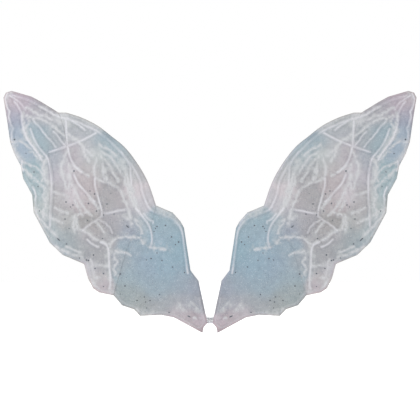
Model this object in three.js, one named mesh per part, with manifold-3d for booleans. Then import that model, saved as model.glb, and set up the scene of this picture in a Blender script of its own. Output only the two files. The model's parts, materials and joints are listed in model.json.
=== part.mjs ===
// A pair of costume fairy wings on a small back plate. Millimetres, +Z up, -Y away from the wearer.
// The origin is on the face that rests on the wearer's back, at the middle of the plate's waist.
// Each wing is film on a wire frame: three petals, each a front and a back sheet with the wires
// between them. A wing hangs on a stem that turns in a bush, and the bush lifts out of a socket.
import * as THREE from 'three';
import { mergeVertices } from 'three/addons/utils/BufferGeometryUtils.js';
import Module from 'manifold-3d';

const wasm = await Module();
wasm.setup();

// ---------------------------------------------------------------- driving dimensions
const gap = 0.3;                    // air left between pieces that touch on the real object
const padThickness = 6;
const plateThickness = 3;
const filmThickness = 0.2;
const wingPlaneY = -28.1;           // the plane that the frame wires lie in

const axisX = 18;                   // where the turning axis crosses z = 0
const axisY = -20.5;
const axisTilt = THREE.MathUtils.degToRad(12.6);   // leans outboard, as the inner wing edge does

const leadingWireR = 1.2;
const trailingWireR = 1.0;
const veinWireR = 0.8;
const stemR = 1.3;
const stemBoreR = stemR + gap;
const bushR = 2.6;
const linerBoreR = bushR + gap;
const linerR = 3.5;
const socketBoreR = linerR + gap;
const socketR = 5.4;                // stays inside the film's distance from the axis
const socketBottom = -2;            // along the axis
const socketTop = 48;
const flangeReach = 17;
const flangeThickness = 3;
const screwOffset = 11.5;
const screwHeights = { upper: 38, lower: 10 };
const screwShankR = 1.4;
const screwHeadR = 2.8;
const screwHeadHeight = 1.6;
const screwRecessR = 1.2;
const screwRecessDepth = 1;
const bushCollarR = 4.4;
const bushCollarHeight = 2;
const ringAt = 21;                  // height of the grip ring on the bush
const ringSectionR = 0.28;
const grooveDepth = 0.5;
const grooveHalfHeight = 1.2;
const stemCollarR = 3.4;
const stemCollarHeight = 3;
const ferruleBottom = 66;
const ferruleTop = 82;
const ferruleHalfThickness = 2.4;
const leadingBore = 4.0;            // offsets of the two wire bores from the stem's
const trailingBore = -3.7;
const roundSides = 24;
const frameWireStep = 9;            // length of one straight step along a curved wire
const veinWireStep = 7;
const cornerReach = 6;              // rounding of the plate's and the pad's corners
const slotCornerReach = 1.5;

const padFrontY = -padThickness;
const plateBackY = padFrontY - gap;
const plateFrontY = plateBackY - plateThickness;

// How far each petal's sheets lie from the wing plane, root petal innermost.
const petalDepth = { root: 1.5, middle: 1.9, tip: 2.3 };

// ---------------------------------------------------------------- outlines, one wing: [outboard, up]
const smooth = (points, divisions) => {
  const curve = new THREE.SplineCurve(points.map(([x, z]) => new THREE.Vector2(x, z)));
  return curve.getSpacedPoints(divisions).map((p) => [p.x, p.y]);
};

const leadingArc = smooth([
  [108, 233], [124, 279], [144, 315], [170, 349], [199, 373], [225, 393], [257, 409], [288, 419],
], 28);

const rootPetal = [
  [108, 233], [75, 219], [59, 201], [52, 188], [39, 103], [23, 82], [5, -2], [13, -11], [15, -22],
  [72, 9], [98, 14], [140, 12], [152, 25], [176, 33], [193, 53],
  // the edge that is tucked behind the middle petal
  [206, 60], [211, 100], [214, 148], [204, 172], [188, 182], [150, 180], [129, 178], [131, 200], [124, 220],
];

const middlePetal = [
  ...leadingArc, [303, 419],
  // the edge that is tucked behind the tip petal
  [306, 392], [300, 362], [320, 352], [335, 337], [331, 310], [328, 285], [329, 248], [330, 206], [325, 170],
  [321, 159], [295, 134], [252, 116], [244, 87], [234, 67], [222, 59], [193, 53],
  // the seam over the root petal
  [196, 80], [200, 107], [202, 140], [196, 162], [186, 170], [163, 170], [137, 166], [119, 149],
  [115, 163], [116, 180], [118, 198], [112, 215],
];

const tipPetal = [
  [303, 419], [337, 440], [357, 451], [397, 462.6], [408.6, 459], [413.5, 449], [407, 409], [400, 360],
  [392, 337], [379, 313], [374, 287], [356, 254], [353, 219], [321, 159],
  // the seam over the middle petal
  [320, 206], [317, 248], [316, 285], [319, 310], [323, 336], [307, 344], [286, 352], [292, 388],
];

const plateHalf = [
  [8, 9], [15, 44], [22, 68], [31, 86], [38, 90], [60, 90], [66, 84],
  [66, 16], [60, 7], [40, -4], [30, -9.5], [20, -13], [8, -6],
];
const padHalf = [
  [9, 5], [18, 42], [26, 66], [34, 73], [48, 73], [52, 66],
  [52, 14], [40, 2], [30, -4], [20, -8], [9, -3.5],
];
const strapSlots = [
  { x: [34, 60], z: [78, 84] },
  { x: [56, 62], z: [22, 48] },
];

// Where the two frame wires pass through the root petal's back sheet, along the turning axis.
const wireSlots = [
  { bottom: 89, top: 102, offset: 4.3, halfWidth: 2.4 },
  { bottom: 48, top: 63, offset: -5.4, halfWidth: 3.2 },
];

// ---------------------------------------------------------------- wire routes between the sheets
const leadingRoute = [
  [46, 108], [48, 124], [52, 153], [54, 172], [58, 187], [67, 200], [84, 211], [104, 218], [119, 225],
  [128, 241], [135, 260], [138, 278], [145, 294], [153, 309], [163, 322], [175, 336], [187, 349],
  [198, 360], [212, 372], [229, 384], [245, 391], [262, 399], [277, 404], [290, 407], [312, 415],
  [336, 430], [360, 443], [394, 453],
];
const trailingRoute = [
  [19.5, 38], [15.5, 20], [11.5, 4], [14, -4], [19, -10.5], [27, -10], [48, 2], [72, 15], [98, 20],
  [137, 18], [149, 30], [173, 39], [190, 58], [219, 65], [230, 72], [238, 90], [246, 120],
  [291, 140], [316, 163], [346, 222], [349, 256], [367, 290], [372, 315], [386, 340], [394, 362],
  [401, 410], [406, 441],
];
const veins = {
  long_rib: [[391, 441], [385, 434], [377, 418], [376, 398], [371, 381], [363, 362], [347, 342], [336, 324]],
  seam_rib: [[359, 386], [352, 367], [343, 351], [332, 337], [325, 329], [320, 312], [317, 290], [317, 248],
    [319, 220], [320, 192]],
  star_upright: [[288, 402], [287, 379], [286, 356]],
  star_leading_arm: [[282, 353], [259, 362], [243, 370], [228, 378]],
  star_trailing_arm: [[290, 350], [305, 345], [320, 340]],
  star_stalk: [[284, 347], [280, 331], [276, 321], [268, 310], [256, 300]],
  centre_vein: [[230, 288], [230, 274], [226, 258], [221, 240], [217, 226], [216, 212]],
  slanting_vein: [[272, 295], [263, 276], [250, 262], [238, 248], [230, 241]],
  cross_vein: [[211, 218], [203, 218], [186, 222], [168, 225]],
  inner_vein: [[148, 228], [137, 214], [123, 195], [117, 178], [116, 161], [119, 149]],
  root_vein: [[219, 160], [208, 155], [203, 145], [202, 126], [201, 107], [199, 92], [199, 78], [201, 67]],
};

// ---------------------------------------------------------------- finishes
const finish = (color, roughness, metalness = 0) =>
  new THREE.MeshStandardMaterial({ color, roughness, metalness });
const rootFilm = finish(0xa3b2be, 0.3);
const middleFilm = finish(0xb3b0b8, 0.3);
const tipFilm = finish(0xb5bcc7, 0.3);
const wireSteel = finish(0xd5d8db, 0.35, 0.8);
const brightSteel = finish(0xc9ccd0, 0.25, 1);
const clearPlastic = finish(0xeef1f3, 0.2);
const whiteNylon = finish(0xe6e6e2, 0.5);
const padCloth = finish(0xe9e7e4, 0.9);
const blackRubber = finish(0x2b2b2b, 0.8);

// ---------------------------------------------------------------- geometry helpers
// Welds a geometry and turns it the right way out, by the sign of the volume that it encloses.
function closed(geometry) {
  const bare = geometry.clone();
  bare.deleteAttribute('normal');
  bare.deleteAttribute('uv');
  const welded = mergeVertices(bare, 1e-4);
  const at = welded.getAttribute('position');
  const index = welded.getIndex();
  const [a, b, c] = [new THREE.Vector3(), new THREE.Vector3(), new THREE.Vector3()];
  let volume = 0;
  for (let i = 0; i < index.count; i += 3) {
    a.fromBufferAttribute(at, index.getX(i));
    b.fromBufferAttribute(at, index.getX(i + 1));
    c.fromBufferAttribute(at, index.getX(i + 2));
    volume += a.dot(b.cross(c));
  }
  if (volume < 0) index.array.reverse();
  return welded;
}

function toSolid(geometry) {
  const mesh = closed(geometry);
  return new wasm.Manifold(new wasm.Mesh({
    numProp: 3,
    vertProperties: mesh.getAttribute('position').array,
    triVerts: Uint32Array.from(mesh.getIndex().array),
  }));
}

function fromSolid(solid) {
  const { vertProperties, triVerts } = solid.getMesh();
  const geometry = new THREE.BufferGeometry();
  geometry.setAttribute('position', new THREE.BufferAttribute(Float32Array.from(vertProperties), 3));
  geometry.setIndex(new THREE.BufferAttribute(Uint32Array.from(triVerts), 1));
  return geometry;
}

const cut = (geometry, ...tools) =>
  fromSolid(tools.reduce((solid, tool) => solid.subtract(toSolid(tool)), toSolid(geometry)));

const polygon = (points, Kind = THREE.Shape) => new Kind(points.map(([x, y]) => new THREE.Vector2(x, y)));

function circle(radius, x = 0, y = 0, sides = roundSides) {
  return Array.from({ length: sides }, (_, i) => {
    const turn = (2 * Math.PI * i) / sides;
    return [x + radius * Math.cos(turn), y + radius * Math.sin(turn)];
  });
}

// A flat piece cut to an outline in X and Z, its back face at backY.
function flatPiece(outline, thickness, backY) {
  const geometry = new THREE.ExtrudeGeometry(polygon(outline), { depth: thickness, bevelEnabled: false });
  return geometry.rotateX(Math.PI / 2).translate(0, backY, 0);
}

// The same, with holes of the given outlines right through it.
function piercedPiece(outline, holes, thickness, backY) {
  const punches = holes.map((hole) => flatPiece(hole, thickness + 2, backY + 1));
  return cut(flatPiece(outline, thickness, backY), ...punches);
}

// A straight piece of one section, standing along local Z.
function standing(section, holes, bottom, top) {
  const shape = polygon(section);
  shape.holes = holes.map((hole) => polygon(hole, THREE.Path));
  const geometry = new THREE.ExtrudeGeometry(shape, { depth: top - bottom, bevelEnabled: false });
  return geometry.translate(0, 0, bottom);
}

// A turned piece about local Z, from a profile of [radius, height] that closes on itself.
function turned(profile) {
  const points = [...profile, profile[0]].map(([r, h]) => new THREE.Vector2(r, h));
  return new THREE.LatheGeometry(points, roundSides).rotateX(Math.PI / 2);
}

// A round wire along a smooth curve through the points.
function wire(points, radius, stepLength, sides) {
  const curve = new THREE.CatmullRomCurve3(points, false, 'centripetal');
  const steps = Math.max(6, Math.round(curve.getLength() / stepLength));
  return new THREE.ExtrudeGeometry(polygon(circle(radius, 0, 0, sides)), {
    steps, extrudePath: curve, bevelEnabled: false,
  });
}

// An outline with every corner rounded off by a short curve.
function rounded(points, reach) {
  const shape = new THREE.Shape();
  const corner = (i) => new THREE.Vector2(...points[(i + points.length) % points.length]);
  points.forEach((_, i) => {
    const here = corner(i);
    const before = corner(i - 1);
    const after = corner(i + 1);
    const start = here.clone().lerp(before, Math.min(0.45, reach / here.distanceTo(before)));
    const end = here.clone().lerp(after, Math.min(0.45, reach / here.distanceTo(after)));
    if (i === 0) shape.moveTo(start.x, start.y);
    else shape.lineTo(start.x, start.y);
    shape.quadraticCurveTo(here.x, here.y, end.x, end.y);
  });
  return shape.getPoints(4).map((p) => [p.x, p.y]);
}

const bothSides = (half) => [...half, ...half.map(([x, z]) => [-x, z]).reverse()];

// ---------------------------------------------------------------- places on a wing's turning axis
// A point at a height along the axis and an offset outboard of it.
function onAxis(side, along, offset, y = axisY) {
  return new THREE.Vector3(
    side * (axisX + along * Math.sin(axisTilt) + offset * Math.cos(axisTilt)),
    y,
    along * Math.cos(axisTilt) - offset * Math.sin(axisTilt),
  );
}
const onWing = (side, [x, z]) => new THREE.Vector3(side * x, wingPlaneY, z);

// A slot through a sheet, lying along the axis.
function slotAlongAxis(side, { bottom, top, offset, halfWidth }) {
  const corners = [[bottom, -1], [top, -1], [top, 1], [bottom, 1]];
  return corners.map(([along, edge]) => {
    const p = onAxis(side, along, offset + edge * halfWidth);
    return [p.x, p.z];
  });
}

const model = new THREE.Group();
function add(name, geometry, material, parent = model) {
  const mesh = new THREE.Mesh(closed(geometry), material);
  mesh.name = name;
  parent.add(mesh);
  return mesh;
}

// ---------------------------------------------------------------- harness
function backPlate() {
  const slots = [-1, 1].flatMap((side) => strapSlots.map(({ x, z }) => rounded([
    [side * x[0], z[0]], [side * x[1], z[0]], [side * x[1], z[1]], [side * x[0], z[1]],
  ], slotCornerReach)));
  const screwHoles = [-1, 1].flatMap((side) => Object.values(screwHeights).map((height) => {
    const p = onAxis(side, height, screwOffset);
    return circle(screwShankR + gap, p.x, p.z, 12);
  }));
  const edge = rounded(bothSides(plateHalf), cornerReach);
  return piercedPiece(edge, [...slots, ...screwHoles], plateThickness, plateBackY);
}

// Round at the front, square against the plate, with a screw flange on the outboard side only.
function socketSection(side) {
  const base = plateFrontY - gap - axisY;
  const nose = Array.from({ length: 13 }, (_, i) => {
    const turn = Math.PI + (Math.PI * i) / 12;
    return [side * socketR * Math.cos(turn), socketR * Math.sin(turn)];
  });
  return [
    [-side * socketR, base], ...nose, [side * socketR, base - flangeThickness],
    [side * flangeReach, base - flangeThickness], [side * flangeReach, base],
  ];
}

function socket(side) {
  const block = standing(socketSection(side), [circle(socketBoreR)], socketBottom, socketTop);
  const drill = (height) => new THREE.CylinderGeometry(screwShankR + gap, screwShankR + gap, 20, 12)
    .translate(side * screwOffset, plateFrontY - axisY - 2, height);
  return cut(block, ...Object.values(screwHeights).map(drill));
}

const tube = (outer, inner, bottom, top) =>
  turned([[inner, bottom], [outer, bottom], [outer, top], [inner, top]]);

function screw(side, height) {
  const underHead = plateFrontY - gap - flangeThickness - gap - axisY;
  const tipY = plateBackY - axisY - gap;
  const body = new THREE.LatheGeometry([
    [0, 0], [screwShankR, 0], [screwShankR, tipY - underHead], [screwHeadR, tipY - underHead],
    [screwHeadR, tipY - underHead + 0.9], [screwHeadR - 0.8, tipY - underHead + screwHeadHeight],
    [0, tipY - underHead + screwHeadHeight],
  ].map(([r, h]) => new THREE.Vector2(r, h)), 16);
  const recess = new THREE.CylinderGeometry(screwRecessR, screwRecessR, 2 * screwRecessDepth, 6)
    .translate(0, tipY - underHead + screwHeadHeight, 0);
  return cut(body, recess).rotateX(Math.PI).translate(side * screwOffset, tipY, height);
}

// ---------------------------------------------------------------- bush, stem and ferrule
function bush() {
  const groove = bushR - grooveDepth;
  const collarBottom = socketTop + gap;
  const collarTop = collarBottom + bushCollarHeight;
  return turned([
    [stemBoreR, socketBottom], [bushR, socketBottom],
    [bushR, ringAt - grooveHalfHeight], [groove, ringAt - grooveHalfHeight],
    [groove, ringAt + grooveHalfHeight], [bushR, ringAt + grooveHalfHeight],
    [bushR, collarBottom], [bushCollarR, collarBottom], [bushCollarR, collarTop], [stemBoreR, collarTop],
  ]);
}

// A thin rubber ring that sits in the groove and stands a little proud of the bush.
const gripRing = () => turned(circle(ringSectionR, bushR - 0.17, ringAt, 8));

function ferrule(side) {
  const end = ferruleHalfThickness;
  const left = trailingBore - 0.2;
  const right = leadingBore + 0.2;
  const section = Array.from({ length: 24 }, (_, i) => {
    const turn = (2 * Math.PI * (i + 0.5)) / 24;
    const middle = Math.cos(turn) > 0 ? right : left;
    return [side * (middle + end * Math.cos(turn)), end * Math.sin(turn)];
  });
  const bores = [
    circle(stemBoreR),
    circle(leadingWireR + gap, side * leadingBore),
    circle(trailingWireR + gap, side * trailingBore),
  ];
  return standing(section, bores, ferruleBottom, ferruleTop);
}

// ---------------------------------------------------------------- wing frame
function leadingWire(side) {
  const root = [
    onAxis(side, ferruleBottom + 1, leadingBore), onAxis(side, 75, leadingBore),
    onAxis(side, ferruleTop, leadingBore), onAxis(side, ferruleTop + 2, leadingBore),
    onAxis(side, 88, leadingBore, axisY - 1.6), onAxis(side, 92.5, 4.2, axisY - 5.1),
    onAxis(side, 98, 4.4, wingPlaneY + 0.3),
  ];
  return wire([...root, ...leadingRoute.map((p) => onWing(side, p))], leadingWireR, frameWireStep, 8);
}

function trailingWire(side) {
  const root = [
    onAxis(side, ferruleTop - 1, trailingBore), onAxis(side, 73, trailingBore),
    onAxis(side, ferruleBottom, trailingBore), onAxis(side, ferruleBottom - 2, trailingBore),
    onAxis(side, 60.5, -3.9, axisY - 1.8), onAxis(side, 56.5, -4.7, axisY - 5.3),
    onAxis(side, 52.5, -6, wingPlaneY + 0.3),
    onAxis(side, 47, -7.2, wingPlaneY),
  ];
  return wire([...root, ...trailingRoute.map((p) => onWing(side, p))], trailingWireR, frameWireStep, 6);
}

// The front and the back sheet of each petal. The root petal's back sheet is slotted for the wires.
function petal(side, name, outline, material) {
  const prefix = side < 0 ? 'left' : 'right';
  const edge = outline.map(([x, z]) => [side * x, z]);
  const depth = petalDepth[name];
  const holes = name === 'root' ? wireSlots.map((slot) => slotAlongAxis(side, slot)) : [];
  const backFace = wingPlaneY + depth + filmThickness;
  add(`${prefix}_${name}_film_front`, flatPiece(edge, filmThickness, wingPlaneY - depth), material);
  add(`${prefix}_${name}_film_back`, piercedPiece(edge, holes, filmThickness, backFace), material);
}

function wing(side) {
  const prefix = side < 0 ? 'left' : 'right';
  const upright = new THREE.Group();        // local Z is the turning axis
  upright.position.set(side * axisX, axisY, 0);
  upright.rotation.y = side * axisTilt;
  model.add(upright);

  add(`${prefix}_socket`, socket(side), whiteNylon, upright);
  add(`${prefix}_socket_liner`, tube(linerR, linerBoreR, socketBottom, socketTop), brightSteel, upright);
  for (const [place, height] of Object.entries(screwHeights)) {
    add(`${prefix}_socket_screw_${place}`, screw(side, height), brightSteel, upright);
  }
  add(`${prefix}_bush`, bush(), whiteNylon, upright);
  add(`${prefix}_grip_ring`, gripRing(), blackRubber, upright);

  const stem = standing(circle(stemR, 0, 0, 12), [], socketBottom + 1, ferruleTop - 1);
  const collarBottom = socketTop + bushCollarHeight + 2 * gap;
  const collar = tube(stemCollarR, stemBoreR, collarBottom, collarBottom + stemCollarHeight);
  add(`${prefix}_stem`, stem, wireSteel, upright);
  add(`${prefix}_stem_collar`, collar, brightSteel, upright);
  add(`${prefix}_root_ferrule`, ferrule(side), brightSteel, upright);

  add(`${prefix}_leading_wire`, leadingWire(side), wireSteel);
  add(`${prefix}_trailing_wire`, trailingWire(side), wireSteel);
  for (const [name, route] of Object.entries(veins)) {
    add(`${prefix}_${name}`, wire(route.map((p) => onWing(side, p)), veinWireR, veinWireStep, 6), wireSteel);
  }
  petal(side, 'root', rootPetal, rootFilm);
  petal(side, 'middle', middlePetal, middleFilm);
  petal(side, 'tip', tipPetal, tipFilm);
}

add('back_plate', backPlate(), clearPlastic);
add('back_pad', flatPiece(rounded(bothSides(padHalf), cornerReach), padThickness, 0), padCloth);
wing(-1);
wing(1);

export default model;
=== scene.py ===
# %% [markdown]
# # Fairy wings
# A pair of costume wings: pearly film on a wire frame, three overlapping petals on each side,
# held by two stems in a small clear back plate. The frame holds every hard piece at its size.
# This lesson adds the film, its raised veins, its glitter and the stitched pad.

# %% Load the frame
import json

import bmesh
import bpy
import numpy as np
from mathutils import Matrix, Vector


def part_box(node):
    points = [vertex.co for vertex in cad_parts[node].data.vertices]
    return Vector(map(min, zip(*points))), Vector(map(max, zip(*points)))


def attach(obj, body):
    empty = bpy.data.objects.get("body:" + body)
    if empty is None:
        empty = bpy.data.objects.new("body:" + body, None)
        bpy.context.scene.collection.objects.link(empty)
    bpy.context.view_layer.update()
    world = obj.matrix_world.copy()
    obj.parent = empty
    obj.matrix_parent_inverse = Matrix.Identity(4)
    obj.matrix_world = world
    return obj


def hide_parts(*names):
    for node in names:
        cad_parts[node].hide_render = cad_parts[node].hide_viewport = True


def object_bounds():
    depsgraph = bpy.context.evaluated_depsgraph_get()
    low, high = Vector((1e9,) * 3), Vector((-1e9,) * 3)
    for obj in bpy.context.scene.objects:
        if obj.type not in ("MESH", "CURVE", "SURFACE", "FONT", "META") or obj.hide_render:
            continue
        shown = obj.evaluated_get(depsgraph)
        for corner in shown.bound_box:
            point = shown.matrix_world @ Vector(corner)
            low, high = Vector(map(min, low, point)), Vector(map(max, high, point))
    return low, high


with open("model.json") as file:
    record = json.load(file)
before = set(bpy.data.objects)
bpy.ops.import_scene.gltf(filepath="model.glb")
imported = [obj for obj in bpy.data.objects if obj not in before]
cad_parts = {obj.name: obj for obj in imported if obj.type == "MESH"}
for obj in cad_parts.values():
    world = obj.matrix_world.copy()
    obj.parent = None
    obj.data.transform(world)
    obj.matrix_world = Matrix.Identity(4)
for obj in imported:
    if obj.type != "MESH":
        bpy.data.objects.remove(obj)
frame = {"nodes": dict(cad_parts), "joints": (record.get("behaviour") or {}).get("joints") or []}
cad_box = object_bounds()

MM = 0.001
SIDES = {"left": -1, "right": 1}

# %% [markdown]
# ## Camera
# The wings are seen square on from behind the wearer, at the height of their middle. A long lens
# keeps both tips undistorted. The camera stands where the picture is 840 mm wide at the film.

# %% Camera
PICTURE_WIDTH = 840 * MM
PICTURE_MIDDLE = 224 * MM
LENS = 100
SENSOR = 36

lens = bpy.data.cameras.new("camera")
lens.lens = LENS
lens.sensor_width = SENSOR
camera = bpy.data.objects.new("camera", lens)
bpy.context.scene.collection.objects.link(camera)
camera.location = (0, cad_box[0].y - PICTURE_WIDTH * LENS / SENSOR, PICTURE_MIDDLE)
camera.rotation_euler = (np.pi / 2, 0, 0)
bpy.context.scene.camera = camera
print("camera at", [round(c, 3) for c in camera.location])

# %% [markdown]
# ## Petal outlines from the frame
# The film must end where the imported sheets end, so each outline is read from the frame's own node:
# the rim edges of its front face, walked in order. Both wings are exact mirror images, so all flat
# work is done once, in millimetres outboard and up, and laid out to the left and to the right.

# %% Read outlines
def welded(node):
    """Points and triangles of a CAD node, with points in the same place counted once."""
    mesh = frame["nodes"][node].data
    points = np.empty(3 * len(mesh.vertices))
    mesh.vertices.foreach_get("co", points)
    points = points.reshape(-1, 3)
    mesh.calc_loop_triangles()
    corners = np.empty(3 * len(mesh.loop_triangles), dtype=np.int32)
    mesh.loop_triangles.foreach_get("vertices", corners)
    keys = np.round(points / (MM / 500)).astype(np.int64)
    _, first, same = np.unique(keys, axis=0, return_index=True, return_inverse=True)
    return points[first], same.reshape(-1)[corners].reshape(-1, 3)


def outline(node):
    """The rim of a flat node: front-face edges that no neighbour shares, end to end, in millimetres."""
    points, triangles = welded(node)
    front = points[:, 1].min() + 0.01 * MM
    flat = triangles[(points[triangles][:, :, 1] < front).all(axis=1)]
    edges = {(int(a), int(b)) for t in flat for a, b in zip(t, np.roll(t, -1))}
    rim = {a: b for a, b in edges if (b, a) not in edges}
    loops = []
    while rim:
        start, here = rim.popitem()
        loops.append([start])
        while here != start:
            loops[-1].append(here)
            here = rim.pop(here)
    return points[max(loops, key=len)][:, [0, 2]] / MM


PETALS = ("root", "middle", "tip")
outlines = {petal: outline(f"right_{petal}_film_front") for petal in PETALS}
print("outline points:", {petal: len(loop) for petal, loop in outlines.items()})

# %% Flat geometry helpers
def segments_of(route):
    """A line's pieces, as pairs of end points."""
    route = np.asarray(route, float)
    return np.stack([route[:-1], route[1:]], axis=1)


def distance_to(points, segments):
    """Shortest distance from every point to any of the line pieces."""
    nearest = np.full(len(points), np.inf)
    for start, end in segments:
        along = end - start
        share = np.clip((points - start) @ along / (along @ along), 0, 1)
        nearest = np.minimum(nearest, np.hypot(*(points - start - share[:, None] * along).T))
    return nearest


def inside(points, loop):
    """True where a line drawn outboard from the point crosses the loop an odd number of times."""
    crossings = np.zeros(len(points), dtype=int)
    for (x0, z0), (x1, z1) in zip(loop, np.roll(loop, -1, axis=0)):
        if z0 == z1:
            continue
        level = (z0 > points[:, 1]) != (z1 > points[:, 1])
        crossings += level & (points[:, 0] < x0 + (points[:, 1] - z0) * (x1 - x0) / (z1 - z0))
    return crossings % 2 == 1


def free_edges(petal):
    """Rim pieces with nothing but air beside them: a point just outside is in no other petal."""
    pieces = segments_of(np.vstack([outlines[petal], outlines[petal][:1]]))
    middle = pieces.mean(axis=1)
    along = pieces[:, 1] - pieces[:, 0]
    normal = np.column_stack([along[:, 1], -along[:, 0]]) / np.linalg.norm(along, axis=1)[:, None]
    outward = np.where(inside(middle + normal, outlines[petal])[:, None], -normal, normal)
    covered = [inside(middle + outward, outlines[other]) for other in PETALS if other != petal]
    return pieces[~np.any(covered, axis=0)]


wing_edge = np.concatenate([free_edges(petal) for petal in PETALS])
print("free edge pieces:", len(wing_edge))

# %% [markdown]
# ## A petal as a surface
# A petal is a leaf between two curves, its leading and its trailing side, which meet at both ends.
# Straight rulings join the two, so the sheet is one function of two numbers: how far along, and how
# far across. Matched corners keep the rulings in order over most of the petal. Where a tucked side
# is hollow they still cut across it, so the root and middle sheets have small folded laps there. The
# alternative, filling the outline with triangles, gives no such grid to raise the veins on.

# %% Ruled patch
# Ends of each petal and its matched corners (leading, trailing), in millimetres outboard and up.
RULINGS = {
    "root": {"start": (5, -2), "pairs": [((108, 233), (193, 53))], "end": (204, 172)},
    "middle": {"start": (119, 149), "pairs": [((108, 233), (200, 107)), ((303, 419), (330, 206))],
               "end": (335, 337)},
    "tip": {"start": (321, 159), "pairs": [((286, 352), (392, 337))], "end": (408.6, 459)},
}


def evenly(curve, count):
    """A curve resampled to evenly spaced points along its length."""
    lengths = np.concatenate([[0], np.cumsum(np.hypot(*np.diff(curve, axis=0).T))])
    stops = np.linspace(0, lengths[-1], count + 1)
    return np.column_stack([np.interp(stops, lengths, curve[:, i]) for i in (0, 1)])


def petal_sides(petal):
    """The outline cut at its matched corners into leading and trailing stretches."""
    ruling = RULINGS[petal]
    loop = outlines[petal]

    def at(corner):
        return int(np.argmin(np.hypot(*(loop - corner).T)))

    loop = np.roll(loop, -at(ruling["start"]), axis=0)
    if at(ruling["pairs"][0][0]) > at(ruling["end"]):
        loop = np.roll(loop[::-1], 1, axis=0)
    ring = np.vstack([loop, loop[:1]])
    leading = [0, *(at(lead) for lead, _ in ruling["pairs"]), at(ruling["end"])]
    trailing = [len(loop), *(at(trail) for _, trail in ruling["pairs"]), at(ruling["end"])]
    return (
        [ring[a:b + 1] for a, b in zip(leading, leading[1:])],
        [ring[b:a + 1][::-1] for a, b in zip(trailing, trailing[1:])],
    )


def ruled_grid(petal, spacing):
    """Points (1 - v) * leading(u) + v * trailing(u) on an even grid of u and v.

    The spacing is met along the sides, and across for a ruling of root mean square length.
    """
    lead, trail = [], []
    for one, other in zip(*petal_sides(petal)):
        longest = max(np.hypot(*np.diff(side, axis=0).T).sum() for side in (one, other))
        count = int(np.ceil(longest / spacing))
        lead.append(evenly(one, count)[:-1])
        trail.append(evenly(other, count)[:-1])
    lead = np.vstack([*lead, petal_sides(petal)[0][-1][-1:]])
    trail = np.vstack([*trail, petal_sides(petal)[1][-1][-1:]])
    across = int(np.ceil(np.sqrt(((trail - lead) ** 2).sum(axis=1).mean()) / spacing))
    v = np.linspace(0, 1, across + 1)[None, :, None]
    return (1 - v) * lead[:, None, :] + v * trail[:, None, :]


print("grid at 10 mm:", {petal: ruled_grid(petal, 10).shape[:2] for petal in PETALS})

# %% [markdown]
# ## Where the veins run
# The wires lie between the sheets and lift the film in crisp ridges, so those lines are read from the
# frame: the front-most edge of each wire's tube. The finer veins are dabs of clear relief paste drawn
# on the film by hand. They have no wire in them, so their routes are listed here, as a maker would
# sketch them: millimetres outboard and up.

# %% Wire lines from the frame
wing_plane = (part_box("right_long_rib")[0].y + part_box("right_long_rib")[1].y) / 2


def wire_line(node):
    """The edges that run along a wire at its front, from ring to ring, as flat line pieces."""
    points, triangles = welded(node)
    edges = np.unique(np.sort(np.vstack([triangles[:, [0, 1]], triangles[:, [1, 2]]]), axis=1), axis=0)
    ends = points[edges]
    radius = wing_plane - points[:, 1].min()
    front = (ends[:, :, 1] < wing_plane - 0.8 * radius).all(axis=1)
    long_enough = np.linalg.norm(ends[:, 0] - ends[:, 1], axis=1) > 3 * MM
    return ends[front & long_enough][:, :, [0, 2]] / MM


VEIN_WIRES = ["long_rib", "seam_rib", "star_upright", "star_leading_arm", "star_trailing_arm", "star_stalk",
              "centre_vein", "slanting_vein", "cross_vein", "inner_vein", "root_vein"]
vein_lines = np.concatenate([wire_line("right_" + name) for name in VEIN_WIRES])
leading_line = wire_line("right_leading_wire")
trailing_line = wire_line("right_trailing_wire")
print("wire pieces:", len(vein_lines), len(leading_line), len(trailing_line))

# %% Hand-drawn veins
# Thin strokes squeezed from a fine nozzle.
CRISP_VEINS = {
    "tip_twin": [(400, 453), (389, 446), (378, 437), (369, 424)],
    "tip_edge": [(406, 457), (410, 446), (407, 432), (401, 421), (403, 409), (399, 397), (394, 387),
                 (396, 376), (398, 364)],
    "inner_lead": [(178, 341), (169, 330), (162, 318), (159, 306), (158, 294), (157, 276)],
    "hook": [(133, 217), (127, 209), (119, 204), (114, 202), (114, 197)],
    "cross_down": [(217, 212), (226, 204), (238, 197), (254, 183)],
    "cross_up": [(222, 205), (208, 197), (200, 189), (195, 178)],
    "low_line": [(246, 165), (240, 159), (231, 153), (222, 150)],
    "star_centre": [(287, 358), (286, 351), (283, 345)],
    "star_slip": [(312, 381), (299, 364), (288, 350)],
    "strip_middle": [(354, 270), (350, 262), (348, 252), (350, 238), (351, 228)],
    "edge_short": [(376, 322), (377, 312), (374, 302)],
    "lead_upper": [(285, 408), (272, 400), (258, 391), (250, 384)],
    "strip_inner": [(355, 406), (343, 393), (327, 372), (314, 357), (308, 350)],
}
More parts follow.
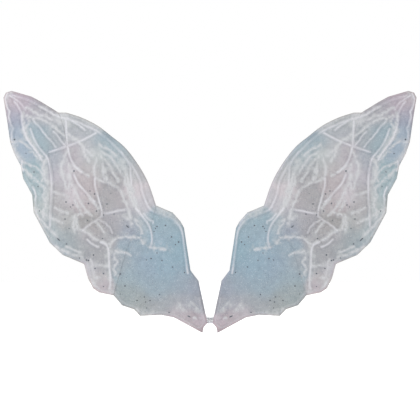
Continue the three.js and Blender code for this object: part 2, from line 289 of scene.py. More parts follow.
# Softer strokes, laid with the side of the nozzle and dabbed with a sponge.
SOFT_VEINS = {
    "tip_fork": [(368, 411), (356, 409), (340, 407), (325, 400), (311, 391), (300, 381), (290, 369)],
    "tip_loop": [(376, 420), (374, 408), (373, 396), (369, 388), (364, 394), (362, 404), (366, 412)],
    "tip_brace": [(341, 431), (326, 424), (313, 415)],
    "tip_wash": [(368, 428), (356, 424), (344, 414), (330, 412), (317, 404)],
    "rib_side": [(372, 386), (365, 370), (356, 356), (345, 341), (337, 330)],
    "edge_loop": [(397, 360), (389, 360), (380, 362), (371, 357), (364, 350), (352, 338), (341, 325)],
    "strip_upper": [(394, 341), (380, 323), (366, 316), (352, 311), (341, 303), (332, 292), (327, 282)],
    "strip_second": [(376, 308), (362, 297), (348, 286), (337, 274), (329, 262)],
    "strip_lower": [(351, 228), (346, 216), (338, 205), (331, 196), (324, 188)],
    "strip_foot": [(346, 226), (336, 219), (326, 213)],
    "strip_band": [(329, 325), (334, 310), (331, 295), (336, 282)],
    "strip_band_low": [(329, 268), (333, 252), (329, 238), (334, 222), (331, 208)],
    "lead_streak": [(158, 262), (163, 280), (168, 300)],
    "white_streak": [(142, 222), (150, 240), (153, 258), (160, 276)],
    "star_shoulder": [(284, 376), (272, 366), (258, 354), (247, 343), (236, 334)],
    "centre_side": [(262, 360), (252, 347), (250, 334), (243, 322)],
    "fan_first": [(221, 354), (207, 347), (197, 340), (190, 333)],
    "fan_second": [(218, 341), (203, 333), (193, 323), (184, 309), (177, 296)],
    "fan_third": [(217, 330), (206, 319), (197, 307), (190, 295), (184, 282)],
    "fan_fourth": [(226, 330), (230, 312), (231, 298), (230, 287)],
    "fan_fifth": [(216, 316), (214, 300), (210, 286)],
    "oval": [(284, 345), (291, 332), (297, 316), (297, 300), (293, 286), (287, 268)],
    "oval_side": [(282, 318), (281, 300), (280, 284), (283, 268)],
    "stalk_side": [(272, 312), (262, 305), (251, 297), (243, 292)],
    "slant_end": [(240, 248), (231, 238), (224, 228)],
    "slant_second": [(284, 296), (276, 274), (266, 253), (257, 236), (247, 222), (240, 215)],
    "slant_third": [(270, 243), (262, 226), (254, 214)],
    "middle_first": [(228, 286), (214, 282), (200, 276), (187, 270), (176, 262)],
    "middle_second": [(213, 306), (207, 291), (205, 281)],
    "middle_third": [(184, 272), (176, 256), (169, 240), (163, 224), (158, 208)],
    "middle_fourth": [(172, 290), (167, 272), (160, 252), (154, 236)],
    "ring": [(255, 183), (264, 189), (269, 199), (267, 210), (258, 218), (246, 220), (236, 213)],
    "rung_first": [(312, 259), (296, 255), (284, 250)],
    "rung_second": [(311, 228), (297, 221), (283, 217)],
    "rung_third": [(317, 210), (305, 202), (294, 200)],
    "upright_low": [(271, 214), (272, 200), (271, 184)],
    "cross_twin": [(228, 198), (219, 190), (212, 178)],
    "low_sweep": [(268, 186), (254, 184), (243, 177), (232, 169), (218, 161), (206, 156), (200, 158)],
    "seam_top": [(200, 150), (197, 160), (189, 168), (172, 170), (154, 170), (140, 168), (132, 158)],
    "dusk_streak": [(137, 178), (141, 192), (149, 206)],
    "dusk_twin": [(156, 196), (164, 206), (174, 212)],
    "seam_side": [(191, 134), (186, 120), (192, 108), (188, 94)],
    "mottle": [(188, 142), (178, 139), (168, 138), (158, 133)],
    "lobe_edge": [(238, 124), (235, 114), (236, 105), (231, 97), (235, 87), (232, 77), (226, 70)],
    "lobe_rung": [(232, 90), (220, 88)],
    "lobe_step": [(226, 113), (214, 113), (204, 112)],
    "low_wave": [(308, 152), (296, 145), (284, 139), (270, 134), (256, 131)],
    "low_twin": [(288, 150), (272, 144), (258, 141)],
    "corner_rung": [(322, 186), (312, 178), (306, 170)],
    "root_hook": [(121, 149), (110, 149), (98, 147), (89, 145)],
    "end_dab": [(28, 7), (31, 8)],
}
# Wide thin washes that only lighten the film.
BROAD_VEINS = {
    "tip_cap": [(396, 458), (403, 457), (407, 451)],
    "rib_wash": [(368, 380), (357, 362), (347, 346), (338, 332), (333, 318)],
    "edge_wash": [(394, 352), (391, 342), (384, 331), (377, 321)],
    "strip_wash": [(330, 320), (330, 302), (326, 284), (323, 264), (325, 244), (327, 226), (322, 206)],
    "upright_wash": [(289, 408), (288, 385), (287, 362)],
    "star_wash": [(278, 368), (266, 364), (255, 354)],
    "fan_wash": [(234, 340), (226, 333)],
    "lead_wash": [(182, 327), (175, 315), (169, 300)],
    "white_wash": [(166, 292), (163, 270), (158, 250), (152, 234)],
    "inner_wash": [(148, 232), (140, 214)],
    "ring_wash": [(272, 212), (273, 196), (272, 182)],
    "rim_wash": [(60, 200), (74, 214), (92, 221), (108, 228)],
    "seam_wash": [(201, 152), (203, 128), (202, 106), (199, 84), (198, 64)],
    "foot_wash": [(142, 26), (132, 19), (118, 16)],
    "sweep_one": [(26, 26), (36, 37)],
    "sweep_two": [(52, 24), (62, 32)],
    "upper_rim": [(222, 389), (248, 402), (272, 411), (296, 415), (297, 400)],
}
# Creases and hollows between the strokes, where the film is darker: painted shade only, the relief has no
# dip there.
CREASE_SHADE_LINES = {
    "end_crease": [(33, 19), (28, 12), (22, 6)],
    "end_fold": [(34, -8), (26, -12), (17, -19)],
    "fan_first": [(214, 347), (201, 336), (189, 320), (179, 304), (170, 288)],
    "fan_second": [(214, 324), (203, 311), (195, 295), (189, 282)],
    "brace": [(338, 425), (324, 418), (311, 411)],
    "star_gap": [(294, 366), (303, 378), (313, 387)],
    "star_gap_upper": [(297, 384), (308, 395), (318, 402)],
    "strip_upper": [(368, 314), (352, 302), (340, 292), (333, 284)],
    "strip_lower": [(360, 286), (346, 273), (337, 259)],
    "strip_edge": [(355, 262), (354, 246), (353, 232)],
    "ring": [(246, 207), (256, 207), (264, 203)],
    "root_rim": [(82, 210), (98, 214), (110, 219)],
    "lead": [(166, 306), (162, 311), (160, 316)],
    "upper_edge": [(232, 388), (246, 394), (262, 401)],
    "corner": [(296, 162), (304, 167), (309, 172)],
}


def lines_of(veins):
    """All the strokes of a group as one set of line pieces."""
    return np.concatenate([segments_of(route) for route in veins.values()])


print("drawn veins:", len(CRISP_VEINS), "crisp,", len(SOFT_VEINS), "soft,", len(BROAD_VEINS), "washes")

# %% [markdown]
# ## Relief of the film
# Each sheet is a height above the wires' plane. It starts from the petal's own layer, rises over the
# wires and the paste lines, and has the faint unevenness of hand-laid film. At a free edge the front
# and the back sheet come together, as heat-sealed film does, but never closer than the wire that runs
# there. Every point depends only on its place on the wing, so overlapping petals rise and fall
# together and never cut through each other.

# %% Relief
FRONT, BACK = -1, 1
LAYER = {petal: abs(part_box(f"right_{petal}_film_front")[0].y - wing_plane) / MM for petal in PETALS}
SEALED = {"root": 0.2, "middle": 0.4, "tip": 0.6}      # height left at a sealed edge
SEAL_WIDTH = 3.6
WIRE_SLACK = 0.35                                       # film lies this far off a wire's surface
# Height and half width of each raised line, in millimetres.
LEADING_RIDGE = (0.75, 2.4)
VEIN_RIDGE = (0.6, 2.0)
CRISP_PASTE = (0.5, 1.6)
SOFT_PASTE = (0.35, 2.4)
CRINKLE_HEIGHT, CRINKLE_CELL = 0.35, 46                 # slow waves of the front film
GRIT_HEIGHT = 0.1
BACK_SHARE = 0.5                                        # the back film rises half as much as the front
STEM_CLEAR, STEM_FADE = 12, 10                          # it stays flat over the stem, then rises softly
# How far each kind of drawn line wavers, in millimetres.
WAVER = {"crisp": 0.9, "soft": 1.9, "broad": 3.5, "crease": 1.5}
GRIT_CELLS, DRIFT_CELL = (4.2, 2.1), 23                 # sizes of the fine grains and of the slow drift
LATTICE = 256
lattice = np.random.default_rng(7).random((LATTICE, LATTICE))

# The axis that the right wing turns on, in millimetres outboard and up.
joints = {joint["name"]: joint for joint in frame["joints"]}
AXIS_FOOT = np.array(joints["right_swing"]["pos_m"])[[0, 2]] / MM
ALONG = np.array(joints["right_lift"]["axis"])[[0, 2]]
ACROSS = np.array([ALONG[1], -ALONG[0]])
STEM_REACH = 82                  # how far along it the stem and its ferrule reach
print("layers:", LAYER, "turning axis from", AXIS_FOOT, "along", ALONG)

# %% Grain and ridges
def wire_radius(node):
    """Half of a flat wire's depth, in millimetres."""
    return (wing_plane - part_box(node)[0].y) / MM


def grain(points, cell):
    """Value noise: one random number per corner of square cells, blended smoothly in between."""
    low = np.floor(points / cell).astype(int)
    share = points / cell - low
    u, v = (share * share * (3 - 2 * share)).T
    i, j = low.T
    corner = [[lattice[(i + di) % LATTICE, (j + dj) % LATTICE] for dj in (0, 1)] for di in (0, 1)]
    return ((corner[0][0] * (1 - u) + corner[1][0] * u) * (1 - v)
            + (corner[0][1] * (1 - u) + corner[1][1] * u) * v)


def bell(distance, width):
    """1 on a line, falling off smoothly to almost nothing at twice the width."""
    return np.exp(-(distance / width) ** 2)


def raised(distance, ridge):
    """A bell-shaped ridge of a height and a half width along a line."""
    height, width = ridge
    return height * bell(distance, width)


def smooth_step(share):
    """0 to 1 with a soft start and a soft end."""
    share = np.clip(share, 0, 1)
    return share * share * (3 - 2 * share)


def wandering(points, reach, cell=7):
    """Places shifted by up to the reach in smooth noise, so that a line measured from them wavers."""
    return points + 2 * reach * (np.column_stack([grain(points, cell), grain(points + 33, cell)]) - 0.5)


print("share of a ridge left at 0, 1 and 2 widths:", bell(np.arange(3), 1).round(3))

# %% Distances and heights
class WingFields:
    """Distances from a set of places on the wing to everything drawn on it, worked out once."""

    def __init__(self, points):
        self.points = points
        self.vein = distance_to(points, vein_lines)
        self.leading = distance_to(points, leading_line)
        self.trailing = distance_to(points, trailing_line)
        self.crisp = distance_to(wandering(points, WAVER["crisp"]), lines_of(CRISP_VEINS))
        self.soft = distance_to(wandering(points, WAVER["soft"]), lines_of(SOFT_VEINS))
        self.broad = distance_to(wandering(points, WAVER["broad"]), lines_of(BROAD_VEINS))
        # Distance to the crease lines, which carry only painted shade.
        self.crease = distance_to(wandering(points, WAVER["crease"]), lines_of(CREASE_SHADE_LINES))
        self.edge = distance_to(points, wing_edge)
        self.stem = distance_to(points, segments_of([AXIS_FOOT, AXIS_FOOT + STEM_REACH * ALONG]))
        self.grit = 0.55 * grain(points, GRIT_CELLS[0]) + 0.45 * grain(points + 61, GRIT_CELLS[1])
        self.drift = grain(points + 17, DRIFT_CELL)

    def over_wires(self):
        """The lowest height that clears every wire: a half circle a little larger than the wire."""
        wires = ((self.vein, "right_long_rib"), (self.leading, "right_leading_wire"),
                 (self.trailing, "right_trailing_wire"))
        squares = [(wire_radius(node) + WIRE_SLACK) ** 2 - away ** 2 for away, node in wires]
        return np.sqrt(np.clip(np.max(squares, axis=0), 0, None))

    def height(self, petal, face):
        """Millimetres out from the wires' plane."""
        rise = np.maximum(raised(self.leading, LEADING_RIDGE),
                          raised(np.minimum(self.vein, self.trailing), VEIN_RIDGE))
        if face == FRONT:
            rise += np.maximum(raised(self.crisp, CRISP_PASTE),
                               raised(self.soft, SOFT_PASTE) * (0.5 + self.grit))
            rise += CRINKLE_HEIGHT * grain(self.points, CRINKLE_CELL) + GRIT_HEIGHT * self.grit
        else:
            rise *= BACK_SHARE * smooth_step((self.stem - STEM_CLEAR) / STEM_FADE)
        open_height = LAYER[petal] + rise - SEALED[petal]
        sealed = SEALED[petal] + open_height * smooth_step(self.edge / SEAL_WIDTH)
        return np.maximum(sealed, self.over_wires() + SEALED[petal] - SEALED["root"])


probe = WingFields(np.array([[85.0, 120.0]]))
print("root film's height in its middle:", probe.height("root", FRONT).round(2), "mm")

# %% [markdown]
# ## Tint of the film
# Pearly film shows a different pastel in each zone, because its coating is laid at varying thickness.
# The zones are blended by a bell of each zone's reach, so no border shows. Wires and paste lines print
# through as whitish strokes, partly their own whitening and partly a painted highlight, with a margin of
# painted shade; painted shade also lies in the creases, and the soft strokes break up into grains.

# %% Tint zones: millimetres outboard and up, reach, and the swatch
ZONES = {
    "tip end": (400, 448, 14, (190, 183, 191)),
    "tip upper": (375, 440, 14, (187, 179, 190)),
    "tip middle": (345, 425, 14, (178, 177, 186)),
    "tip trailing": (400, 420, 9, (178, 176, 189)),
    "tip inner": (330, 412, 12, (183, 184, 190)),
    "violet": (388, 405, 10, (167, 171, 186)),
    "upper trailing": (390, 375, 12, (168, 179, 193)),
    "strip upper": (372, 340, 14, (168, 180, 194)),
    "strip middle": (358, 300, 14, (166, 183, 191)),
    "strip lower": (350, 262, 14, (176, 190, 196)),
    "strip grey": (340, 232, 12, (181, 189, 192)),
    "strip root": (325, 200, 12, (176, 183, 189)),
    "strip corner": (317, 172, 10, (174, 184, 190)),
    "loop": (345, 380, 14, (164, 178, 188)),
    "rib middle": (335, 350, 12, (162, 176, 185)),
    "lilac high": (310, 322, 14, (176, 180, 189)),
    "lilac middle": (302, 290, 14, (184, 182, 191)),
    "lilac low": (305, 255, 14, (181, 180, 185)),
    "lilac root": (300, 225, 12, (178, 176, 181)),
    "wedge": (297, 408, 7, (201, 203, 207)),
    "star outer": (310, 370, 12, (176, 181, 188)),
    "star inner": (270, 375, 12, (180, 183, 191)),
    "lead outer": (265, 397, 12, (174, 178, 183)),
    "lead second": (240, 380, 12, (184, 188, 194)),
    "lead teal": (215, 365, 12, (163, 176, 186)),
    "lead inner": (190, 335, 12, (172, 184, 192)),
    "lead grey": (168, 318, 12, (178, 185, 191)),
    "pink star": (270, 340, 14, (185, 181, 188)),
    "pink pale": (285, 300, 12, (200, 196, 202)),
    "pink middle": (250, 280, 14, (186, 180, 185)),
    "mid upper": (245, 345, 12, (183, 186, 192)),
    "mid fan": (225, 330, 12, (191, 197, 199)),
    "mid shade": (210, 310, 12, (175, 177, 182)),
    "mid dusk": (193, 283, 12, (170, 169, 175)),
    "mid warm": (238, 308, 12, (188, 186, 190)),
    "brown upper": (275, 255, 12, (204, 199, 205)),
    "brown centre": (255, 232, 12, (186, 180, 185)),
    "brown outer": (290, 203, 12, (179, 180, 183)),
    "brown lower": (250, 200, 12, (170, 169, 172)),
    "brown inner": (228, 185, 12, (174, 172, 176)),
    "brown dusk": (203, 240, 12, (175, 174, 179)),
    "brown root": (190, 212, 12, (179, 178, 185)),
    "white upper": (155, 300, 12, (190, 191, 195)),
    "white middle": (152, 260, 12, (203, 198, 203)),
    "white lower": (145, 235, 10, (194, 193, 200)),
    "lead rim": (120, 250, 8, (194, 193, 199)),
    "lead rim upper": (136, 300, 8, (184, 185, 190)),
    "dusk inner": (178, 243, 10, (176, 173, 179)),
    "dusk lower": (165, 205, 12, (173, 175, 183)),
    "blue lilac": (160, 185, 12, (163, 169, 182)),
    "blue pale": (135, 195, 10, (176, 186, 194)),
    "root rim": (92, 222, 7, (191, 198, 204)),
    "root upper": (85, 195, 16, (158, 175, 186)),
    "root high": (95, 168, 18, (162, 178, 191)),
    "root inner": (70, 148, 16, (154, 175, 188)),
    "root centre": (100, 130, 18, (157, 175, 189)),
    "root middle": (85, 100, 18, (156, 174, 188)),
    "root lilac": (130, 108, 16, (158, 172, 187)),
    "root waist": (60, 75, 14, (161, 171, 183)),
    "root low": (100, 70, 16, (160, 173, 184)),
    "root far": (150, 90, 16, (162, 176, 186)),
    "root top": (150, 150, 14, (160, 173, 185)),
    "root seam": (175, 118, 12, (165, 174, 183)),
    "root green": (160, 58, 14, (163, 171, 176)),
    "root olive": (140, 35, 12, (164, 169, 173)),
    "root grey": (105, 30, 12, (169, 172, 178)),
    "root rim grey": (32, 68, 10, (161, 167, 180)),
    "root rim dusk": (24, 38, 10, (163, 165, 175)),
    "root stalk": (52, 40, 12, (170, 173, 182)),
    "end upper": (80, 42, 12, (169, 173, 180)),
    "end pink": (64, 18, 12, (186, 180, 187)),
    "end rose": (40, 8, 10, (182, 174, 181)),
    "end inner": (20, -4, 8, (188, 179, 188)),
    "end tip": (20, -15, 7, (178, 167, 173)),
    "lobe seam": (190, 125, 9, (175, 178, 186)),
    "lobe middle": (215, 120, 11, (171, 172, 178)),
    "lobe outer": (242, 108, 9, (190, 189, 196)),
    "lobe pale": (227, 85, 9, (188, 186, 190)),
    "lobe pink": (212, 68, 9, (185, 179, 186)),
    "lobe upper": (230, 140, 12, (170, 171, 177)),
    "band outer": (258, 150, 12, (167, 170, 176)),
    "band blue": (285, 150, 12, (166, 175, 182)),
    "band corner": (303, 150, 9, (169, 179, 188)),
    "band grey": (250, 172, 11, (181, 180, 186)),
    "band teal": (280, 170, 12, (167, 173, 179)),
    "band inner": (214, 165, 11, (174, 174, 180)),
    "band root": (193, 190, 11, (170, 170, 177)),
}
# The vein and paste swatches: partly the strokes' own whitening, partly a painted highlight along the
# ridges.
VEIN_AND_HIGHLIGHT_SWATCH = (221, 222, 227)
PASTE_AND_HIGHLIGHT_SWATCH = (208, 210, 213)
WASH_SWATCH = (203, 206, 208)
HIDDEN_LEADING = [(97, 216, 20), (211, 371, 13), (348, 436, 46)]     # outboard, up and reach
RICHNESS = 1.02                    # how much further from grey than its swatch a zone's middle is
GLOSS_SHARE = (0.074, 0.075, 0.129)     # what the pearly gloss and the light behind lay over the tint
TINT_SHARE = (1.02, 1.04, 0.985)
GRIT_SHARE, CLOUD_SHARE, CLOUD_CELL = 0.16, 0.10, 9
# Darkening: painted shade beside the strokes and in the creases, and a darker band along the cut edge.
# For each: its share, how far from the line its middle lies, and its half width in millimetres.
DARKER = {"crisp": (0.11, 4.4, 1.7), "soft": (0.05, 5.2, 1.8), "crease": (0.12, 0, 3.0),
          "edge": (0.1, 0, 1.6)}
# Strokes laid over the tint: their share and half width in millimetres. The wire and paste strokes are
# partly a painted highlight.
LAID = {"sponge": (0.4, 10), "broad": (0.55, 5.5), "soft": (0.84, 2.7), "trailing": (0.25, 1.8),
        "vein": (0.8, 1.8), "leading": (0.72, 1.8), "crisp": (0.76, 1.6)}
SPONGE_CELL, SPONGE_EDGE = 6.5, 0.3
BROKEN = (0.1, 1.5)                # a soft stroke's share: this, and this much more for full grit
FADE = (0.3, 1.15)                 # a crisp stroke's share: this, and this much more for full drift
LEAST_FADE = 0.25
HIDDEN_SHARE = 0.85                # how much of the leading stroke is lost where it is hidden
print("tint zones:", len(ZONES))

# %% Blend the zones and lay the strokes on
def linear(swatch):
    """Scene-linear values of a swatch given in 0 to 255 display steps."""
    display = np.asarray(swatch, float) / 255
    return np.where(display > 0.04045, ((display + 0.055) / 1.055) ** 2.4, display / 12.92)


def under_gloss(swatch):
    """The film's own colour that looks like the swatch once its gloss lies over it."""
    return (linear(swatch) - GLOSS_SHARE) / TINT_SHARE


def zone_tint(points):
    """Swatches averaged with weights exp(-distance^2 / (2 reach^2)), which never drop to nothing."""
    total = np.zeros((len(points), 3))
    weights = np.zeros(len(points))
    for x, z, reach, swatch in ZONES.values():
        weight = np.exp(-((points - (x, z)) ** 2).sum(axis=1) / (2 * reach * reach)) + 1e-9
        total += weight[:, None] * under_gloss(swatch)
        weights += weight
    return total / weights[:, None]


def laid_on(tint, swatch, share):
    """A swatch laid over the tint, by a share for every point."""
    return tint + (under_gloss(swatch) - tint) * share[:, None]


def shade(fields):
    """1 with a fine mottle, less where painted shade lies beside the strokes and in the creases, and less
    along the cut edge.
    """
    lines = {"crisp": np.minimum(np.minimum(fields.vein, fields.leading), fields.crisp),
             "soft": fields.soft, "crease": fields.crease, "edge": fields.edge}
    cloud = grain(fields.points, CLOUD_CELL)
    mottled = 1 + GRIT_SHARE * (fields.grit - 0.5) + CLOUD_SHARE * (cloud - 0.5)
    # Painted shade: darker beside the strokes and in the creases; also darker along the cut edge.
    dark = [share * bell(lines[name] - away, width) for name, (share, away, width) in DARKER.items()]
    return mottled - np.sum(dark, axis=0)


def stroke(name, distance):
    """How much of a stroke's swatch is laid on at a distance from its line."""
    return raised(distance, LAID[name])


def film_tint(fields):
    """The zone colour with its mottle and painted shade, then washes, soft strokes and crisp strokes laid
    over it; the strokes carry a painted highlight in part.
    """
    tint = zone_tint(fields.points)
    grey = tint.mean(axis=1, keepdims=True)
    tint = (grey + RICHNESS * (tint - grey)) * shade(fields)[:, None]
    dabbed = smooth_step((grain(fields.points + 5, SPONGE_CELL) - 0.5) / SPONGE_EDGE)
    broken = np.clip(BROKEN[0] + BROKEN[1] * fields.grit, 0, 1)
    fade = np.clip(FADE[0] + FADE[1] * fields.drift, LEAST_FADE, 1)
    tint = laid_on(tint, WASH_SWATCH, stroke("sponge", np.minimum(fields.soft, fields.broad)) * dabbed)
    tint = laid_on(tint, WASH_SWATCH, stroke("broad", fields.broad) * broken)
    # Painted highlight in part: the soft paste strokes and the trailing wire are laid on in near-white.
    tint = laid_on(tint, PASTE_AND_HIGHLIGHT_SWATCH, stroke("soft", fields.soft) * broken)
    tint = laid_on(tint, PASTE_AND_HIGHLIGHT_SWATCH, stroke("trailing", fields.trailing))
    hidden = [bell(np.hypot(*(fields.points - (x, z)).T), reach) for x, z, reach in HIDDEN_LEADING]
    leading = stroke("leading", fields.leading) * (1 - HIDDEN_SHARE * np.max(hidden, axis=0))
    crisp = np.max([stroke("vein", fields.vein), leading, stroke("crisp", fields.crisp)], axis=0)
    # Painted highlight in part: the wire and crisp paste strokes are laid on in near-white.
    return laid_on(tint, VEIN_AND_HIGHLIGHT_SWATCH, crisp * fade)


print("root film's tint in its middle:", film_tint(probe).round(3))

# %% [markdown]
# ## Film material
# The film is glossy and slightly see-through, with a thin coating that gives the pastel sheen. Its
# colour comes from the tint painted on the sheet, broken by procedural grains: a fine mottle, and
# scattered painted glints and dark specks from small cells. Values that are the same everywhere sit on the
# shader itself.

# %% Material helpers
def new_material(name, **shader_values):
    """A material with its principled shader's own values set. Returns it with its node tree and shader."""
    material = bpy.data.materials.new(name)
    material.use_nodes = True
    shader = material.node_tree.nodes["Principled BSDF"]
    for socket, value in shader_values.items():
        shader.inputs[socket.replace("_", " ")].default_value = value
    return material, material.node_tree, shader


def node(tree, kind, inputs=None, **settings):
    """A shader node with settings, and inputs that are either values or another node's output."""
    made = tree.nodes.new(kind)
    for key, value in settings.items():
        setattr(made, key, value)
    for key, value in (inputs or {}).items():
        if isinstance(value, bpy.types.NodeSocket):
            tree.links.new(value, made.inputs[key])
        else:
            made.inputs[key].default_value = value
    return made


def place_in_object(tree, stretch=(1, 1, 1)):
    """The piece's own coordinates, stretched by a factor along each axis."""
    place = node(tree, "ShaderNodeTexCoord").outputs["Object"]
    return node(tree, "ShaderNodeMapping", {"Vector": place, "Scale": stretch}).outputs[0]


def object_noise(tree, scale, detail=2.0, roughness=0.5, stretch=(1, 1, 1)):
    """Noise in the object's own coordinates, scale in waves per metre."""
    return node(tree, "ShaderNodeTexNoise", {"Vector": place_in_object(tree, stretch), "Scale": scale,
                                             "Detail": detail, "Roughness": roughness}).outputs["Fac"]


def ramp(tree, value, *stops):
    """A colour ramp from (position, grey or colour) stops."""
    made = node(tree, "ShaderNodeValToRGB", {"Fac": value})
    elements = made.color_ramp.elements
    while len(elements) < len(stops):
        elements.new(0.5)
    for element, (position, colour) in zip(elements, stops):
        element.position = position
        element.color = (colour, colour, colour, 1) if np.isscalar(colour) else (*colour, 1)
    return made.outputs["Color"]


def mixed(tree, kind, share, one, other):
    """Two colours mixed: share is how much of the other is laid on."""
    made = node(tree, "ShaderNodeMix", {0: share}, data_type="RGBA", blend_type=kind)
    for socket, value in ((6, one), (7, other)):
        if isinstance(value, bpy.types.NodeSocket):
            tree.links.new(value, made.inputs[socket])
        else:
            made.inputs[socket].default_value = (*value, 1)
    return made.outputs[2]


def bump(tree, shader, height, distance):
    """Feeds a height in metres-scaled noise to the shader's normal."""
    made = node(tree, "ShaderNodeBump", {"Height": height, "Distance": distance, "Strength": 1.0})
    tree.links.new(made.outputs["Normal"], shader.inputs["Normal"])


# %% Film material
PAINTED_GLINT_SWATCH = (232, 233, 236)
SPECK_SWATCH = (128, 134, 146)
SPARKLE_CELLS = 1000.0           # cells per metre


def film_material(name, see_through):
    """Pearly film: painted tint, fine mottle, painted glints and dark specks, crinkled gloss."""
    material, tree, shader = new_material(
        name, Alpha=see_through, IOR=1.5, Coat_Weight=0.25, Coat_Roughness=0.2,
        Thin_Film_Thickness=330.0, Thin_Film_IOR=1.35)
    tint = node(tree, "ShaderNodeAttribute", attribute_name="tint").outputs["Color"]
    mottle = ramp(tree, object_noise(tree, 420, 3, 0.6), (0.3, 0.94), (0.7, 1.05))
    colour = mixed(tree, "MULTIPLY", 1.0, tint, mottle)
    cells = node(tree, "ShaderNodeTexVoronoi", {"Vector": place_in_object(tree),
                                                "Scale": SPARKLE_CELLS})
    pick = node(tree, "ShaderNodeSeparateColor", {"Color": cells.outputs["Color"]}).outputs[0]
    # Painted glints: the lightest cells get a near-white base colour.
    light = ramp(tree, pick, (0.93, 0.0), (0.96, 0.2))
    colour = mixed(tree, "MIX", light, colour, linear(PAINTED_GLINT_SWATCH))
    dark = ramp(tree, pick, (0.03, 0.4), (0.06, 0.0))
    colour = mixed(tree, "MIX", dark, colour, linear(SPECK_SWATCH))
    tree.links.new(colour, shader.inputs["Base Color"])
    gloss = ramp(tree, object_noise(tree, 90, 2), (0.35, 0.28), (0.65, 0.5))
    tree.links.new(gloss, shader.inputs["Roughness"])
    bump(tree, shader, object_noise(tree, 300, 6, 0.7), 0.45 * MM)
    return material


film_look = film_material("pearl_film", 0.93)
print("film material ready")

# %% [markdown]
# ## The twelve sheets
# Each sheet is the ruled grid at its height, with its tint painted on the points. The left one is the
# right one with its places mirrored and its faces turned over. A thin Solidify gives the film a real
# edge. The front sheets are finely divided; the back ones carry no paste and can be coarser.

# %% Mesh helpers
def grid_faces(rows, columns):
    """Quads of a grid of rows by columns points, all turned the same way."""
    first = (np.arange(rows - 1)[:, None] * columns + np.arange(columns - 1)[None, :]).ravel()
    return np.column_stack([first, first + 1, first + columns + 1, first + columns])


def ring_faces(rows, columns):
    """Quads of a grid whose last column joins its first."""
    first = (np.arange(rows - 1)[:, None] * columns + np.arange(columns)[None, :])
    after = np.roll(first, -1, axis=1)
    return np.stack([first, after, after + columns, first + columns], axis=2).reshape(-1, 4)


def mesh_piece(name, points, faces, smooth=True):
    """A mesh object at the origin from arrays of points and faces."""
    mesh = bpy.data.meshes.new(name)
    mesh.from_pydata(points.tolist(), [], faces if isinstance(faces, list) else faces.tolist())
    if smooth:
        mesh.shade_smooth()
    piece = bpy.data.objects.new(name, mesh)
    bpy.context.scene.collection.objects.link(piece)
    return piece


def paint(mesh, name, colours):
    """Stores one colour per point as an attribute."""
    layer = mesh.attributes.new(name, "FLOAT_COLOR", "POINT")
    rgba = np.column_stack([colours, np.ones(len(colours))])
    layer.data.foreach_set("color", rgba.astype(np.float32).ravel())


def close_up(mesh, outward=False):
    """Merges points in the same place, and on request turns all faces of a closed shell outwards."""
    work = bmesh.new()
    work.from_mesh(mesh)
    bmesh.ops.remove_doubles(work, verts=work.verts, dist=MM / 50)
    if outward:
        bmesh.ops.recalc_face_normals(work, faces=work.faces)
    work.to_mesh(mesh)
    work.free()


def signed_area(points, faces):
    """Area of the quads seen from the front, positive where they turn anticlockwise."""
    a, b, c, d = (points[faces[:, k]] for k in range(4))
    one, other = c - a, d - b
    return 0.5 * (one[:, 0] * other[:, 1] - one[:, 1] * other[:, 0]).sum()


print("quads of a grid of 2 by 3 points:", grid_faces(2, 3).tolist())

# %% Build the sheets
# Grid spacing in millimetres: fine enough for the strokes, with under 200,000 triangles to a sheet.
FINE = {"root": 1.15, "middle": 1.5, "tip": 1.0}
COARSE = 2.4
FILM_THICKNESS = 0.15 * MM


def sheet_piece(prefix, petal, face, flat, faces, height, tint):
    """One sheet: places mirrored for its side, depth from its height, faces turned outwards."""
    place = "front" if face == FRONT else "back"
    depth = wing_plane + face * height * MM
    points = np.column_stack([SIDES[prefix] * flat[:, 0] * MM, depth, flat[:, 1] * MM])
    towards_front = signed_area(points[:, [0, 2]], faces) > 0
    turned = faces if towards_front == (face == FRONT) else faces[:, ::-1]
    sheet = mesh_piece(f"{prefix}_{petal}_sheet_{place}", points, turned)
    paint(sheet.data, "tint", tint)
    close_up(sheet.data)
    solid = sheet.modifiers.new("thickness", "SOLIDIFY")
    solid.thickness = FILM_THICKNESS
    solid.offset = -1
    sheet.data.materials.append(film_look)
    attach(sheet, f"{prefix}_wing")
    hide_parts(f"{prefix}_{petal}_film_{place}")
    return sheet


def build_sheets(petal, face):
    """The left and the right sheet of one petal, on its front or its back."""
    grid = ruled_grid(petal, FINE[petal] if face == FRONT else COARSE)
    flat = grid.reshape(-1, 2)
    faces = grid_faces(*grid.shape[:2])
    fields = WingFields(flat)
    height, tint = fields.height(petal, face), film_tint(fields)
    for prefix in SIDES:
        sheet = sheet_piece(prefix, petal, face, flat, faces, height, tint)


for petal in PETALS:
    build_sheets(petal, FRONT)
    build_sheets(petal, BACK)

# %% [markdown]
# ## Glitter
# Loose hexagonal flakes are cut from metallised foil, and catch the light or show dark depending on
# how they lie. The large dark ones fell where they fell, so their places are listed one by one; the
# small ones are scattered by a seeded draw. Each flake is a prism that follows the film's own height,
# though a little flatter.
# The flakes' light and dark look is painted: a painted-shade copy of the foil on the dark flakes and dust, a
# painted-glint copy on the bright ones.

# %% Flake places
DARK_FLAKES = [
    (89, 193), (106, 191), (109, 187), (112, 181), (77, 170), (63, 160), (69, 155), (106, 138), (118, 127),
    (96, 123), (75, 110), (51, 99), (127, 124), (148, 180), (164, 190), (192, 216), (101, 55), (131, 50),
    (120, 43), (129, 40), (127, 28), (146, 43), (82, 19), (179, 96), (170, 72), (179, 56), (213, 97),
    (213, 71), (230, 107), (247, 124), (243, 123), (233, 134), (261, 128), (287, 156), (290, 206),
    (282, 187), (213, 214), (215, 167), (206, 236), (231, 256), (274, 234), (279, 230), (272, 302),
    (240, 262), (243, 237), (227, 222), (288, 240), (245, 203), (344, 271), (352, 300), (368, 337),
    (341, 222), (391, 365),
]
